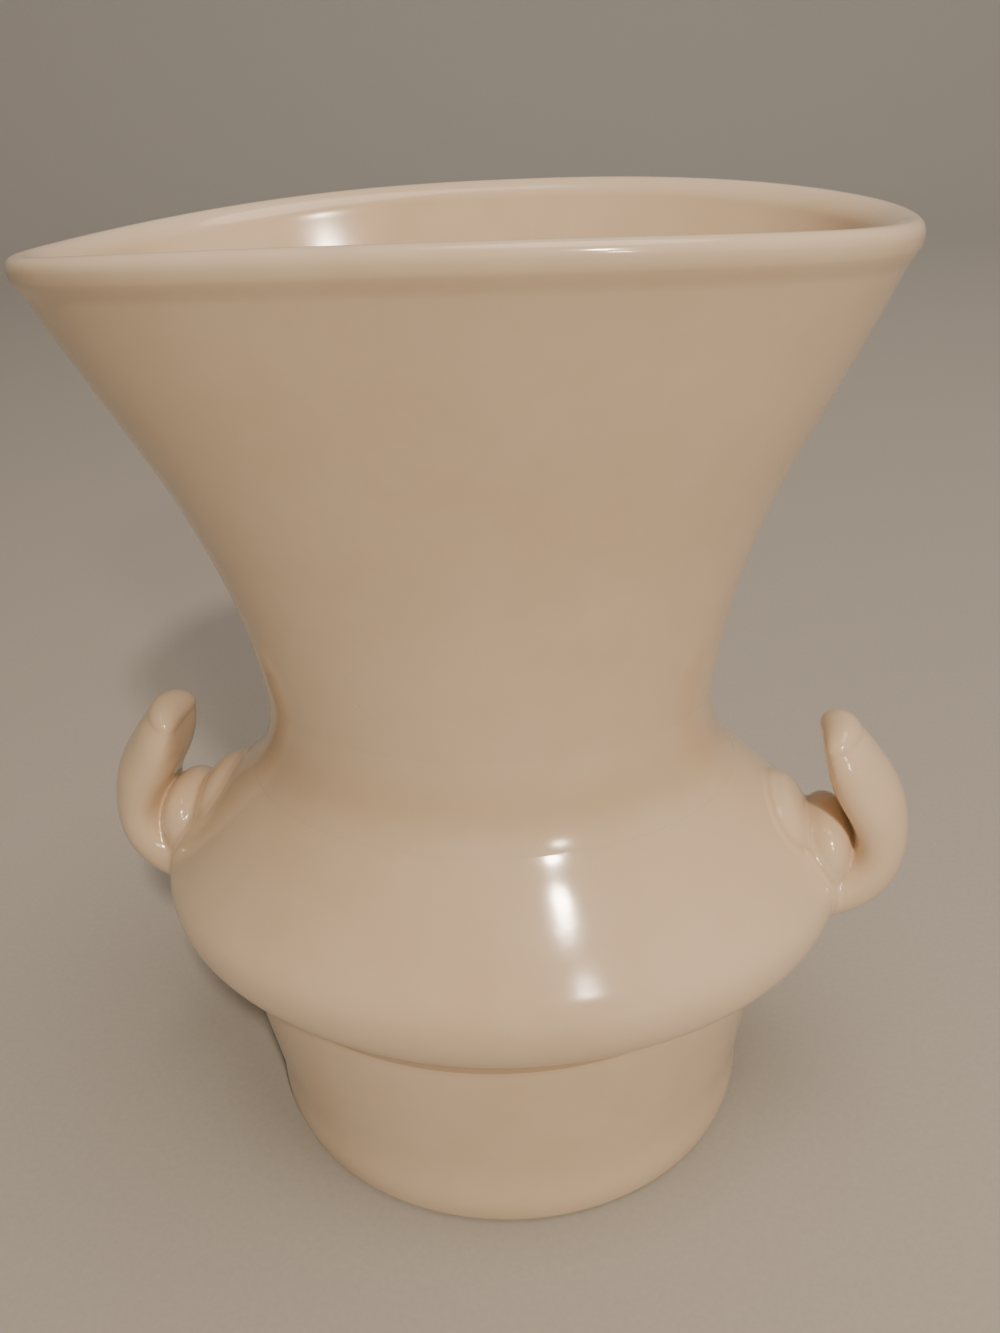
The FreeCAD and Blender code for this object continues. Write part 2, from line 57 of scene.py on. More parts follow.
def spline(xs, ys):
    """Natural cubic spline through the points, as a function of an array."""
    xs, ys = np.asarray(xs, float), np.asarray(ys, float)
    n = len(xs)
    h = np.diff(xs)
    A = np.zeros((n, n))
    r = np.zeros(n)
    A[0, 0] = A[-1, -1] = 1
    for i in range(1, n - 1):
        A[i, i - 1], A[i, i], A[i, i + 1] = h[i - 1], 2 * (h[i - 1] + h[i]), h[i]
        r[i] = 6 * ((ys[i + 1] - ys[i]) / h[i] - (ys[i] - ys[i - 1]) / h[i - 1])
    m = np.linalg.solve(A, r)

    def f(x):
        x = np.asarray(x, float)
        i = np.clip(np.searchsorted(xs, x) - 1, 0, n - 2)
        t = np.clip(x, xs[0] - 4.0, xs[-1] + 4.0)
        a, b = (xs[i + 1] - t), (t - xs[i])
        return (m[i] * a ** 3 + m[i + 1] * b ** 3) / (6 * h[i]) + \
            (ys[i] / h[i] - m[i] * h[i] / 6) * a + (ys[i + 1] / h[i] - m[i + 1] * h[i] / 6) * b
    return f


def chord(table):
    t = np.array(table, float)
    s = np.r_[0, np.cumsum(np.hypot(np.diff(t[:, 0]), np.diff(t[:, 1])))]
    return s, t


def along(table, count):
    """Evenly spaced sections on the smooth profile through a table."""
    s, t = chord(table)
    q = np.linspace(0, s[-1], count)
    return np.c_[spline(s, t[:, 0])(q), spline(s, t[:, 1])(q), spline(s, t[:, 2])(q)]


NECK_A = spline([r[0] for r in NECK], [r[1] for r in NECK])
NECK_B = spline([r[0] for r in NECK], [r[2] for r in NECK])
FOOT_A = spline([r[0] for r in FOOT], [r[1] for r in FOOT])
FOOT_B = spline([r[0] for r in FOOT], [r[2] for r in FOOT])
_bowl = along(BOWL, 400)


def bowl_ab(z):
    return np.interp(z, _bowl[:, 0], _bowl[:, 1]), np.interp(z, _bowl[:, 0], _bowl[:, 2])


# ------------------------------------------------------------------ mesh tools
def mesh_object(name, verts, faces, attrs=None):
    me = bpy.data.meshes.new(name)
    verts = np.asarray(verts, np.float64) * MM
    me.from_pydata(verts.tolist(), [], faces)
    me.validate()
    me.update()
    for k, v in (attrs or {}).items():
        a = me.attributes.new(k, "FLOAT", "POINT")
        a.data.foreach_set("value", np.asarray(v, np.float32))
    me.shade_smooth()
    o = bpy.data.objects.new(name, me)
    bpy.context.scene.collection.objects.link(o)
    return o


def lathe(name, rings, seg, attrs=None, caps=(False, False), closed=False):
    """rings: list of (seg, 3) arrays. caps close the first or last ring with a centre point.
    closed joins the last ring to the first. Rings run so that the outside is wound outwards."""
    n = len(rings)
    v = np.concatenate(rings)
    faces = []
    last = n if closed else n - 1
    for i in range(last):
        p, q = i * seg, ((i + 1) % n) * seg
        for j in range(seg):
            k = (j + 1) % seg
            faces.append((p + j, p + k, q + k, q + j))
    attrs = {k: np.repeat(np.asarray(a, float), seg) if len(a) == n else np.asarray(a, float) for k, a in (attrs or {}).items()}
    if caps[0]:
        c = len(v)
        v = np.r_[v, [rings[0].mean(0)]]
        attrs = {k: np.r_[a, a[0]] for k, a in attrs.items()}
        for j in range(seg):
            faces.append((c, (j + 1) % seg, j))
    if caps[1]:
        c = len(v)
        v = np.r_[v, [rings[-1].mean(0)]]
        attrs = {k: np.r_[a, a[(n - 1) * seg]] for k, a in attrs.items()}
        b = (n - 1) * seg
        for j in range(seg):
            faces.append((c, b + j, b + (j + 1) % seg))
    return mesh_object(name, v, faces, attrs)


SEG = 320
TH = np.linspace(0, 2 * math.pi, SEG, endpoint=False)
CT, ST = np.cos(TH), np.sin(TH)


def oval(z, a, b, power=2.0):
    """One ring. power a little over 2 makes the oval slightly squarer."""
    e = 2.0 / power
    x = np.sign(CT) * np.abs(CT) ** e * a
    y = np.sign(ST) * np.abs(ST) ** e * b
    return np.c_[x, y, np.broadcast_to(z, x.shape)]


def arc(p0, p1, p2, count):
    """Quadratic curve from p0 to p2 pulled towards p1. Points are (z, a, b)."""
    t = np.linspace(0, 1, count)[:, None]
    p0, p1, p2 = (np.array(p, float) for p in (p0, p1, p2))
    return (1 - t) ** 2 * p0 + 2 * t * (1 - t) * p1 + t ** 2 * p2


# ------------------------------------------------------------------------ foot
def build_foot():
    prof, bare = [], []

    def put(rows, b=0.0):
        for r in rows:
            prof.append(tuple(r))
            bare.append(b)

    za, zb = 40.2 - 5.2, 37.0 - 5.2
    # underside of the hollow, from the middle outwards
    for f in (0.03, 0.15, 0.3, 0.45, 0.6, 0.75, 0.86, 0.94):
        put([(2.75 - 0.15 * f, (za - 1.2) * f, (zb - 1.2) * f)])
    put(arc((2.6, za - 1.2, zb - 1.2), (2.6, za - 0.2, zb - 0.2), (1.4, za, zb), 7))
    put(arc((0.9, za + 0.05, zb + 0.05), (0.02, za + 0.2, zb + 0.2), (0.0, za + 1.1, zb + 1.1), 6)[1:], 1.0)
    put([(0.0, za + 1.9 + 0.5 * i, zb + 1.9 + 0.5 * i) for i in range(6)], 1.0)
    put(arc((0.0, 39.9, 36.7), (0.05, 40.9, 37.75), (0.9, 41.4, 38.2), 6)[1:], 1.0)
    # outside
    up = along(FOOT, 70)
    put(up[:-3])
    # small rounding into the top face
    put(arc(up[-4] + (0.05, 0, 0), up[-1], (38.8, 45.6, 41.8), 5)[1:])
    put([(38.8, 43.5, 39.5)])
    # inside, down to the floor
    put([(38.8, 39.4, 35.9), (38.3, 39.0, 35.5)])
    for z in np.linspace(36, 11, 14):
        put([(z, FOOT_A(z) - 4.6 - 0.25 * (z - 11) / 25, FOOT_B(z) - 4.6 - 0.25 * (z - 11) / 25)])
    put(arc((10.4, 37.8, 34.5), (6.8, 37.6, 34.3), (6.8, 33.5, 30.2), 9))
    for f in (0.9, 0.75, 0.6, 0.45, 0.3, 0.15, 0.03):
        put([(6.8, 33.5 * f, 30.2 * f)])
    rings = [oval(*p) for p in prof]
    z = np.array([p[0] for p in prof])
    # painted shade: darker towards the top of the foot, under the overhanging belly
    shade_and_thin_glaze = np.clip((z - 36.0) / 2.8, 0, 1) * 0.8
    o = lathe("foot_glazed", rings, SEG, {"shade_and_thin_glaze": shade_and_thin_glaze, "bare": bare}, caps=(True, True))
    return o


# ------------------------------------------------------------------------ bowl
def build_bowl():
    up = along(BOWL, 110)
    prof = [tuple(r) for r in up]
    prof += [(73.0, 35.0, 26.9), (72.9, 33.9, 25.8), (72.3, 33.4, 25.3)]
    inner = [(70.0, 33.0, 24.9), (69.0, 33.6, 25.6), (65.0, 37.4, 28.3), (61.0, 41.4, 31.7), (57.0, 45.5, 35.2),
             (53.5, 49.3, 38.4), (50.0, 52.4, 41.0), (46.6, 52.2, 41.2), (44.2, 50.6, 40.4), (42.6, 46.4, 38.2), (41.2, 42.0, 36.2),
             (40.4, 39.4, 35.4)]
    prof += [tuple(r) for r in along([(-r[0], r[1], r[2]) for r in inner], 60) * (-1, 1, 1)]
    prof += [(39.5, 39.2, 35.2), (39.4, 40.2, 36.0), (39.4, 43.5, 39.2)]
    rings = [oval(*p) for p in prof]
    z = np.array([p[0] for p in prof])
    # painted shade: darker at the bottom of the bowl, over the foot, and at the top, where the neck joins
    shade_and_thin_glaze = np.clip((41.5 - z) / 2.2, 0, 1) * 0.9 + np.clip((z - 70.0) / 3.0, 0, 1) * 0.5
    return lathe("bowl_glazed", rings, SEG, {"shade_and_thin_glaze": shade_and_thin_glaze, "bare": np.zeros(len(z))}, closed=True)


# ------------------------------------------------------------------------ neck
def build_neck():
    """The oval gets slightly squarer towards the lip. Sections follow the lip,
    which is lower over the handles."""
    z0, seg = 73.6, SEG
    rings, shade_and_thin_glaze = [], []
    cap_h = 3.0
    drop = RIM_DROP * CT ** 2

    def power(z):
        return 2.0 + 0.33 * np.clip((z - 95.0) / 55.0, 0, 1) ** 1.3

    def ring(zz, off, flare=0.0):
        """zz per vertex, off how far inside the outer surface."""
        a, b = NECK_A(zz) - off + flare, NECK_B(zz) - off + flare
        e = 2.0 / power(zz)
        x = np.sign(CT) * np.abs(CT) ** e * a
        y = np.sign(ST) * np.abs(ST) ** e * b
        return np.c_[x, y, zz]

    def wall(z):
        return 3.6 + 1.0 * np.clip((z - 105) / 30.0, 0, 1)

    def roll(zz):
        """The lip is a soft roll that stands slightly proud of the neck."""
        g = np.clip((zz + drop - (Z_LIP - 5.4)) / 2.4, 0, 1)
        return g * g * (3 - 2 * g)

    zl = Z_LIP - cap_h - drop            # where the rounding of the lip starts
    ts = np.r_[np.linspace(0, 0.92, 100), np.linspace(0.92, 1, 34)[1:]]
    for t in ts:
        zz = z0 + (zl - z0) * t
        a, b = NECK_A(zz) + 0.45 * roll(zz), NECK_B(zz) + 0.35 * roll(zz)
        e = 2.0 / power(zz)
        rings.append(np.c_[np.sign(CT) * np.abs(CT) ** e * a, np.sign(ST) * np.abs(ST) ** e * b, zz])
        # painted shade: darker at the foot of the neck, where it meets the belly
        shade_and_thin_glaze.append(np.full(seg, max(0.0, 1 - t * 25) * 0.6))
    w = 4.6
    for ph in np.linspace(0, math.pi, 25)[1:-1]:
        zz = zl + cap_h * math.sin(ph)
        out_a, out_b = (0.45, 0.35) if ph < math.pi / 2 else (0.45 * math.sin(ph) ** 2, 0.35 * math.sin(ph) ** 2)
        a = NECK_A(zl) - w / 2 + (w / 2) * math.cos(ph) + 0.30 * cap_h * math.sin(ph) + out_a
        b = NECK_B(zl) - w / 2 + (w / 2) * math.cos(ph) + 0.26 * cap_h * math.sin(ph) + out_b
        e = 2.0 / power(zz)
        rings.append(np.c_[np.sign(CT) * np.abs(CT) ** e * a, np.sign(ST) * np.abs(ST) ** e * b, zz])
        # negative values: the glaze is thinner and whiter over the lip
        shade_and_thin_glaze.append(np.full(seg, -0.5 * math.sin(ph)))
    for t in np.linspace(1, 0, 110):
        zz = z0 + (zl - z0) * t
        rings.append(ring(zz, wall(zz)))
        shade_and_thin_glaze.append(np.zeros(seg))
    for z, a, b in [(72.6, 31.5, 23.4), (71.0, 31.3, 23.2), (70.4, 31.6, 23.5), (70.4, 32.8, 24.7), (70.8, 33.2, 25.1),
                    (73.4, 33.2, 25.1), (73.6, 33.5, 25.4)]:
        rings.append(oval(z, a, b))
        shade_and_thin_glaze.append(np.zeros(seg))
    return lathe("neck_glazed", rings, seg, {"shade_and_thin_glaze": np.concatenate(shade_and_thin_glaze), "bare": np.zeros(len(rings) * seg)}, closed=True)


# ---------------------------------------------------------------- luting beads
def build_foot_bead():
    # hollow fillet between the top of the foot and the underside of the belly
    out = arc((36.9, FOOT_A(36.9) - 0.12, FOOT_B(36.9) - 0.12), (39.5, 46.8, 42.75), (40.15, 50.6, 43.55), 14)
    prof = [tuple(r) for r in out] + [(40.5, 47.5, 42.0), (40.5, 44.6, 40.6), (39.0, 44.0, 40.0), (37.0, 44.4, 40.5)]
    # painted shade: the hollow fillet under the belly is darkened all along, most in its middle
    return lathe("foot_luting_glazed", [oval(*p) for p in prof], SEG,
                 {"shade_and_thin_glaze": [0.7 + 0.3 * math.sin(math.pi * min(i, 13) / 13.0) for i in range(len(prof))], "bare": [0.0] * len(prof)}, closed=True)


def build_neck_bead():
    a0, b0 = bowl_ab(68.0)
    a1, b1 = bowl_ab(66.9)
    out = arc((68.0, a0 + 0.01, b0 + 0.01), (73.7, 35.35, 27.2), (81.0, NECK_A(81.0) + 0.01, NECK_B(81.0) + 0.01), 30)
    prof = [(66.9, a1 - 0.1, b1 - 0.1)] + [tuple(r) for r in out] + [
        (82.2, NECK_A(82.2) - 0.1, NECK_B(82.2) - 0.1), (82.0, 34.6, 26.1), (74.0, 33.9, 25.8), (68.5, 37.0, 28.4)]
    n = len(prof)
    # painted shade: darkened along the fillet where the neck meets the belly, most in its middle
    return lathe("neck_luting_glazed", [oval(*p) for p in prof], SEG,
                 {"shade_and_thin_glaze": [0.45 * math.sin(math.pi * min(i, 31) / 31.0) for i in range(n)], "bare": [0.0] * n}, closed=True)


# --------------------------------------------------------------------- handles
# Scroll centre line: out, up, half thickness, half width. The tip is rounded.
SCROLL = [(49.5, 46.0, 5.5, 9.8), (54.4, 46.0, 5.3, 9.8), (58.4, 47.1, 5.1, 9.6), (62.3, 50.9, 4.7, 9.3),
          (63.3, 56.2, 4.4, 9.0), (61.8, 61.6, 4.7, 8.8), (59.2, 66.2, 4.6, 8.4), (57.4, 70.0, 3.8, 7.6), (56.4, 72.2, 3.1, 6.4)]
TIP = 3.2
LOBES = [  # out, up, half length, half thickness, half width, lean in degrees
    (54.9, 52.1, 7.5, 4.6, 9.0, 3.0), (48.3, 55.4, 7.7, 4.3, 9.6, -14.0)]
VOX = 0.25


def smin(a, b, k):
    h = np.clip(0.5 + 0.5 * (b - a) / k, 0, 1)
    return b + (a - b) * h - k * h * (1 - h)


def surface_nets(F, lo, h):
    """Smooth quads where the field crosses zero. Inside is negative."""
    nx, ny, nz = F.shape
    C = [(0, 0, 0), (1, 0, 0), (0, 1, 0), (1, 1, 0), (0, 0, 1), (1, 0, 1), (0, 1, 1), (1, 1, 1)]
    neg = F < 0
    cnt = np.zeros((nx - 1, ny - 1, nz - 1), np.int8)
    for dx, dy, dz in C:
        cnt += neg[dx:nx - 1 + dx, dy:ny - 1 + dy, dz:nz - 1 + dz]
    cells = np.argwhere((cnt > 0) & (cnt < 8))
    vid = -np.ones(cnt.shape, np.int64)
    vid[tuple(cells.T)] = np.arange(len(cells))
    val = np.stack([F[cells[:, 0] + d[0], cells[:, 1] + d[1], cells[:, 2] + d[2]] for d in C], 1)
    acc = np.zeros((len(cells), 3))
    num = np.zeros(len(cells))
    Cn = np.array(C, float)
    for i in range(8):
        for j in range(i + 1, 8):
            if sum(abs(a - b) for a, b in zip(C[i], C[j])) != 1:
                continue
            fa, fb = val[:, i], val[:, j]
            m = (fa < 0) != (fb < 0)
            t = np.zeros(len(cells))
            t[m] = fa[m] / (fa[m] - fb[m])
            p = Cn[i] + t[:, None] * (Cn[j] - Cn[i])
            acc[m] += p[m]
            num[m] += 1
    verts = (cells + acc / num[:, None]) * h + lo
    faces = []
    for ax in range(3):
        s = [slice(1, -1)] * 3
        s[ax] = slice(0, -1)
        e = [slice(1, -1)] * 3
        e[ax] = slice(1, None)
        A, B = neg[tuple(s)], neg[tuple(e)]
        idx = np.argwhere(A != B)
        off = np.ones(3, int)
        off[ax] = 0
        g = idx + off
        u, v = (ax + 1) % 3, (ax + 2) % 3
        q = []
        for du, dv in ((-1, -1), (0, -1), (0, 0), (-1, 0)):
            c = g.copy()
            c[:, u] += du
            c[:, v] += dv
            q.append(vid[c[:, 0], c[:, 1], c[:, 2]])
        q = np.stack(q, 1)
        fwd = A[tuple(idx.T)]
        q[~fwd] = q[~fwd][:, ::-1]
        faces.append(q)
    faces = np.concatenate(faces)
    faces = faces[(faces >= 0).all(1)]
    return verts, faces


def sample(G, lo, h, p):
    """Trilinear value of a grid at points."""
    q = (p - lo) / h
    i = np.clip(np.floor(q).astype(int), 0, np.array(G.shape) - 2)
    f = q - i
    out = 0
    for dx in (0, 1):
        for dy in (0, 1):
            for dz in (0, 1):
                w = (f[:, 0] if dx else 1 - f[:, 0]) * (f[:, 1] if dy else 1 - f[:, 1]) * (f[:, 2] if dz else 1 - f[:, 2])
                out = out + w * G[i[:, 0] + dx, i[:, 1] + dy, i[:, 2] + dz]
    return out


def relax(verts, faces, F, lo, h, rounds=3):
    """Evens out the vertices and puts them back on the surface."""
    g = np.gradient(F, h)
    ij = np.concatenate([faces[:, [a, b]] for a, b in ((0, 1), (1, 2), (2, 3), (3, 0))])
    for _ in range(rounds):
        s = np.zeros_like(verts)
        n = np.zeros(len(verts))
        for a, b in ((0, 1), (1, 0)):
            np.add.at(s, ij[:, a], verts[ij[:, b]])
            np.add.at(n, ij[:, a], 1)
        verts = 0.5 * verts + 0.5 * s / n[:, None]
        f = sample(F, lo, h, verts)
        d = np.stack([sample(c, lo, h, verts) for c in g], 1)
        m = np.maximum((d ** 2).sum(1), 0.3)
        verts = verts - np.clip(f / m, -0.3, 0.3)[:, None] * d
    return verts


def handle_fields():
    lo = np.array([41.0, -13.0, 38.0])
    hi = np.array([69.5, 13.0, 79.0])
    n = np.ceil((hi - lo) / VOX).astype(int) + 1
    X = lo[0] + VOX * np.arange(n[0])
    Y = lo[1] + VOX * np.arange(n[1])
    Z = lo[2] + VOX * np.arange(n[2])
    # belly
    a, b = bowl_ab(Z)
    xx, yy, zz = X[:, None, None], Y[None, :, None], Z[None, None, :]
    f = np.sqrt((xx / a) ** 2 + (yy / b) ** 2) - 1
    g = np.gradient(f, VOX)
    belly = f / np.sqrt(g[0] ** 2 + g[1] ** 2 + g[2] ** 2)
    belly[:, :, Z < 39.6] = np.maximum(belly[:, :, Z < 39.6], 0.5)
    # scroll: nearest point of the centre line in the XZ plane
    t = np.array(SCROLL)
    s = np.r_[0, np.cumsum(np.hypot(np.diff(t[:, 0]), np.diff(t[:, 1])))]
    q = np.linspace(0, s[-1], 260)
    cx, cz, th, wd = (spline(s, t[:, i])(q) for i in range(4))
    tx, tz = np.gradient(cx, q), np.gradient(cz, q)
    m = np.hypot(tx, tz)
    tx, tz = tx / m, tz / m
    nxv, nzv = tz, -tx                       # points away from the axis of the vase
    PX, PZ = np.meshgrid(X, Z, indexing="ij")
    d2 = (PX[..., None] - cx) ** 2 + (PZ[..., None] - cz) ** 2
    k = d2.argmin(-1)
    rx, rz = PX - cx[k], PZ - cz[k]
    u = rx * nxv[k] + rz * nzv[k]
    over = np.where(k == len(q) - 1, np.maximum(rx * tx[k] + rz * tz[k], 0), 0)
    T, W, O, S = th[k], wd[k], over, q[k] / q[-1]
    cup = 1.5 * np.clip(S * 2.2 - 0.35, 0, 1)      # the back of the scroll is slightly dished towards the neck
    y2 = (Y[None, :, None] / W[:, None, :]) ** 2
    uu = u[:, None, :] + cup[:, None, :] * np.minimum(y2, 1.5)
    g2 = (np.abs(uu) / T[:, None, :]) ** 2.2 + np.sqrt(y2) ** 2.2 + (O[:, None, :] / TIP) ** 2.2
    gg = g2 ** (1 / 2.2) - 1
    gr = np.gradient(gg, VOX)
    scroll = gg / np.maximum(np.sqrt(gr[0] ** 2 + gr[1] ** 2 + gr[2] ** 2), 0.06)
    # leaf
    lobes = []
    for ox, oz, ln, tk, w, lean in LOBES:
        ca, sa = math.cos(math.radians(lean)), math.sin(math.radians(lean))
        dx, dz = xx - ox, zz - oz
        bow = 0.012 * (dz * ca + dx * sa) ** 2          # lobes bow outwards a little
        lu = dx * ca - dz * sa + bow * 0.6
        lv = dx * sa + dz * ca
        e = ((np.abs(lu) / tk) ** 2.15 + (np.abs(lv) / ln) ** 2.15 + (np.abs(yy) / w) ** 2.15) ** (1 / 2.15) - 1
        ge = np.gradient(e, VOX)
        lobes.append(e / np.maximum(np.sqrt(ge[0] ** 2 + ge[1] ** 2 + ge[2] ** 2), 0.04))
    leaf = smin(lobes[0], lobes[1], 1.5)
    return lo, belly, scroll, leaf, lobes


def build_handles():
    lo, belly, scroll, leaf, lobes = handle_fields()
    sunk = -(belly + 0.4)
    second = np.maximum(scroll, leaf)
    pair = smin(scroll, leaf, 1.0)
    near_piece = np.minimum(scroll, leaf)
    blend = smin(pair, belly, 1.9)
    reach = np.maximum(np.minimum(belly - 3.2, second - 2.0), near_piece - 2.9)
    dive = np.clip((reach + 0.9) / 0.9, 0, 1)
    blend = blend + 0.02 + 0.45 * dive * dive * (3 - 2 * dive)
    region = np.maximum(-(belly + 1.3), reach)
    fields = {"handle": np.maximum(scroll, sunk), "leaf": np.maximum(leaf, sunk),
              "handle_luting": np.maximum(blend, region)}
    crease = np.minimum(np.maximum(scroll, leaf), np.minimum(np.maximum(lobes[0], lobes[1]), np.maximum(near_piece, belly)))
    out = {}
    for name, F in fields.items():
        v, q = surface_nets(F, lo, VOX)
        v = relax(v, q, F, lo, VOX)
        # painted shade: darker near the creases between scroll, leaf and belly
        shade_and_thin_glaze = np.clip(1 - sample(crease, lo, VOX, v) / 1.3, 0, 1) ** 1.5
        for side, sx in (("right", 1), ("left", -1)):
            vv = v * (sx, 1, 1)
            qq = q if sx > 0 else q[:, ::-1]
            out[name + "_" + side] = mesh_object(name + "_glazed_" + side, vv, qq.tolist(), {"shade_and_thin_glaze": shade_and_thin_glaze, "bare": np.zeros(len(v))})
    return out


# -------------------------------------------------------------------- surfaces
def node(nt, kind, **inputs):
    n = nt.nodes.new(kind)
    for k, v in inputs.items():
        key = k.replace("_", " ")
        (n.inputs[key] if key in n.inputs else n.inputs[int(k[1:])]).default_value = v
    return n


def mix_rgb(nt, fac, a, b, blend="MIX"):
    n = nt.nodes.new("ShaderNodeMix")
    n.data_type = "RGBA"
    n.blend_type = blend
    for i, v in ((0, fac), (6, a), (7, b)):
        if isinstance(v, (int, float, tuple)):
            n.inputs[i].default_value = v
        else:
            nt.links.new(v, n.inputs[i])
    return n.outputs[2]


def mix_val(nt, fac, a, b):
    n = nt.nodes.new("ShaderNodeMix")
    n.data_type = "FLOAT"
    for i, v in ((0, fac), (2, a), (3, b)):
        if isinstance(v, (int, float)):
            n.inputs[i].default_value = v
        else:
            nt.links.new(v, n.inputs[i])
    return n.outputs[0]


def ramp(nt, src, lo, hi):
    n = nt.nodes.new("ShaderNodeMapRange")
    n.interpolation_type = "SMOOTHSTEP"
    n.inputs["From Min"].default_value = lo
    n.inputs["From Max"].default_value = hi
    nt.links.new(src, n.inputs["Value"])
    return n.outputs["Result"]


def math_node(nt, op, a, b=0.0):
    n = nt.nodes.new("ShaderNodeMath")
    n.operation = op
    for i, v in enumerate((a, b)):
        if isinstance(v, (int, float)):
            n.inputs[i].default_value = v
        else:
            nt.links.new(v, n.inputs[i])
    return n.outputs[0]


def noise(nt, vec, scale, detail=3.0, rough=0.5):
    n = node(nt, "ShaderNodeTexNoise", Scale=scale, Detail=detail, Roughness=rough)
    nt.links.new(vec, n.inputs["Vector"])
    return n.outputs["Fac"]


def glaze_material():
    m = bpy.data.materials.new("ivory_glaze")
    m.use_nodes = True
    nt = m.node_tree
    b = nt.nodes["Principled BSDF"]
    co = nt.nodes.new("ShaderNodeTexCoord").outputs["Object"]
    shade_and_thin_glaze = nt.nodes.new("ShaderNodeAttribute")
    shade_and_thin_glaze.attribute_name = "shade_and_thin_glaze"
    bare = nt.nodes.new("ShaderNodeAttribute")
    bare.attribute_name = "bare"
    shade_and_thin_glaze, bare = shade_and_thin_glaze.outputs["Fac"], bare.outputs["Fac"]
    # cloudy glaze: thicker and creamier in places
    cloud = ramp(nt, noise(nt, co, 28.0, 4.0, 0.55), 0.33, 0.70)
    col = mix_rgb(nt, cloud, (0.80, 0.65, 0.485, 1), (0.755, 0.595, 0.425, 1))
    fine = ramp(nt, noise(nt, co, 160.0, 5.0, 0.6), 0.30, 0.72)
    col = mix_rgb(nt, math_node(nt, "MULTIPLY", fine, 0.16), col, (0.845, 0.735, 0.59, 1))
    # painted shade: darker brown in the creases and where the parts meet; the glaze is also thinner and whiter over
    # the lip
    painted_crease_shade = ramp(nt, shade_and_thin_glaze, 0.05, 1.0)
    # the dark brown mixed in here is painted crease shade
    col = mix_rgb(nt, math_node(nt, "MULTIPLY", painted_crease_shade, 0.65), col, (0.50, 0.335, 0.19, 1))
    thin = ramp(nt, math_node(nt, "MULTIPLY", shade_and_thin_glaze, -1.0), 0.05, 0.5)
    col = mix_rgb(nt, math_node(nt, "MULTIPLY", thin, 0.35), col, (0.86, 0.765, 0.65, 1))
    # a few tiny specks under the glaze
    vo = node(nt, "ShaderNodeTexVoronoi", Scale=170.0)
    nt.links.new(co, vo.inputs["Vector"])
    spot = math_node(nt, "SUBTRACT", 1.0, ramp(nt, vo.outputs["Distance"], 0.03, 0.075))
    sep = nt.nodes.new("ShaderNodeSeparateColor")
    nt.links.new(vo.outputs["Color"], sep.inputs[0])
    spot = math_node(nt, "MULTIPLY", spot, math_node(nt, "GREATER_THAN", sep.outputs[0], 0.985))
    col = mix_rgb(nt, math_node(nt, "MULTIPLY", spot, 0.5), col, (0.33, 0.21, 0.12, 1))
    # bare fired clay on the ring that the foot rests on
    grain = noise(nt, co, 1400.0, 4.0, 0.7)
    clay = mix_rgb(nt, ramp(nt, grain, 0.3, 0.7), (0.70, 0.60, 0.47, 1), (0.80, 0.72, 0.60, 1))
    dirt = ramp(nt, noise(nt, co, 210.0, 4.0, 0.65), 0.48, 0.75)
    clay = mix_rgb(nt, math_node(nt, "MULTIPLY", dirt, 0.45), clay, (0.36, 0.29, 0.22, 1))
    nt.links.new(mix_rgb(nt, bare, col, clay), b.inputs["Base Color"])
    # sheen: slightly uneven
    r = mix_val(nt, ramp(nt, noise(nt, co, 55.0, 3.0), 0.3, 0.7), 0.11, 0.17)
    r = mix_val(nt, math_node(nt, "MULTIPLY", spot, 0.5), r, 0.4)
    nt.links.new(mix_val(nt, bare, r, 0.82), b.inputs["Roughness"])
    b.inputs["IOR"].default_value = 1.52
    nt.links.new(mix_val(nt, bare, 0.5, 0.15), b.inputs["Specular IOR Level"])
    b.inputs["Subsurface Weight"].default_value = 0.10
    b.inputs["Subsurface Radius"].default_value = (1.0, 0.62, 0.38)
    b.inputs["Subsurface Scale"].default_value = 0.0025
    # relief: slow waves from casting, faint orange peel, pinholes, grain of the clay
    wave = noise(nt, co, 34.0, 2.0, 0.45)
    peel = noise(nt, co, 420.0, 2.0, 0.5)
    vp = node(nt, "ShaderNodeTexVoronoi", Scale=230.0)
    nt.links.new(co, vp.inputs["Vector"])
    sp = nt.nodes.new("ShaderNodeSeparateColor")
    nt.links.new(vp.outputs["Color"], sp.inputs[0])
    pin = math_node(nt, "SUBTRACT", 1.0, ramp(nt, vp.outputs["Distance"], 0.02, 0.09))
    pin = math_node(nt, "MULTIPLY", pin, math_node(nt, "GREATER_THAN", sp.outputs[1], 0.97))
    b1 = node(nt, "ShaderNodeBump", Strength=1.0, Distance=0.00022)
    nt.links.new(wave, b1.inputs["Height"])
    b2 = node(nt, "ShaderNodeBump", Strength=1.0, Distance=0.0000045)
    nt.links.new(peel, b2.inputs["Height"])
    nt.links.new(b1.outputs[0], b2.inputs["Normal"])
    b3 = node(nt, "ShaderNodeBump", Strength=0.6, Distance=0.00008)
    nt.links.new(math_node(nt, "MULTIPLY", pin, -1.0), b3.inputs["Height"])
    nt.links.new(b2.outputs[0], b3.inputs["Normal"])
    b4 = node(nt, "ShaderNodeBump", Strength=1.0, Distance=0.00006)
    nt.links.new(math_node(nt, "MULTIPLY", grain, bare), b4.inputs["Height"])
    nt.links.new(b3.outputs[0], b4.inputs["Normal"])
    nt.links.new(b4.outputs[0], b.inputs["Normal"])
    return m


glaze = glaze_material()
pieces = {"foot": build_foot(), "bowl": build_bowl(), "neck": build_neck(),
          "foot_luting_ring": build_foot_bead(), "neck_luting_ring": build_neck_bead()}
pieces.update(build_handles())
for cad_name, o in pieces.items():
    o.data.materials.append(glaze)
    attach(o, "root")
    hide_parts(cad_name)


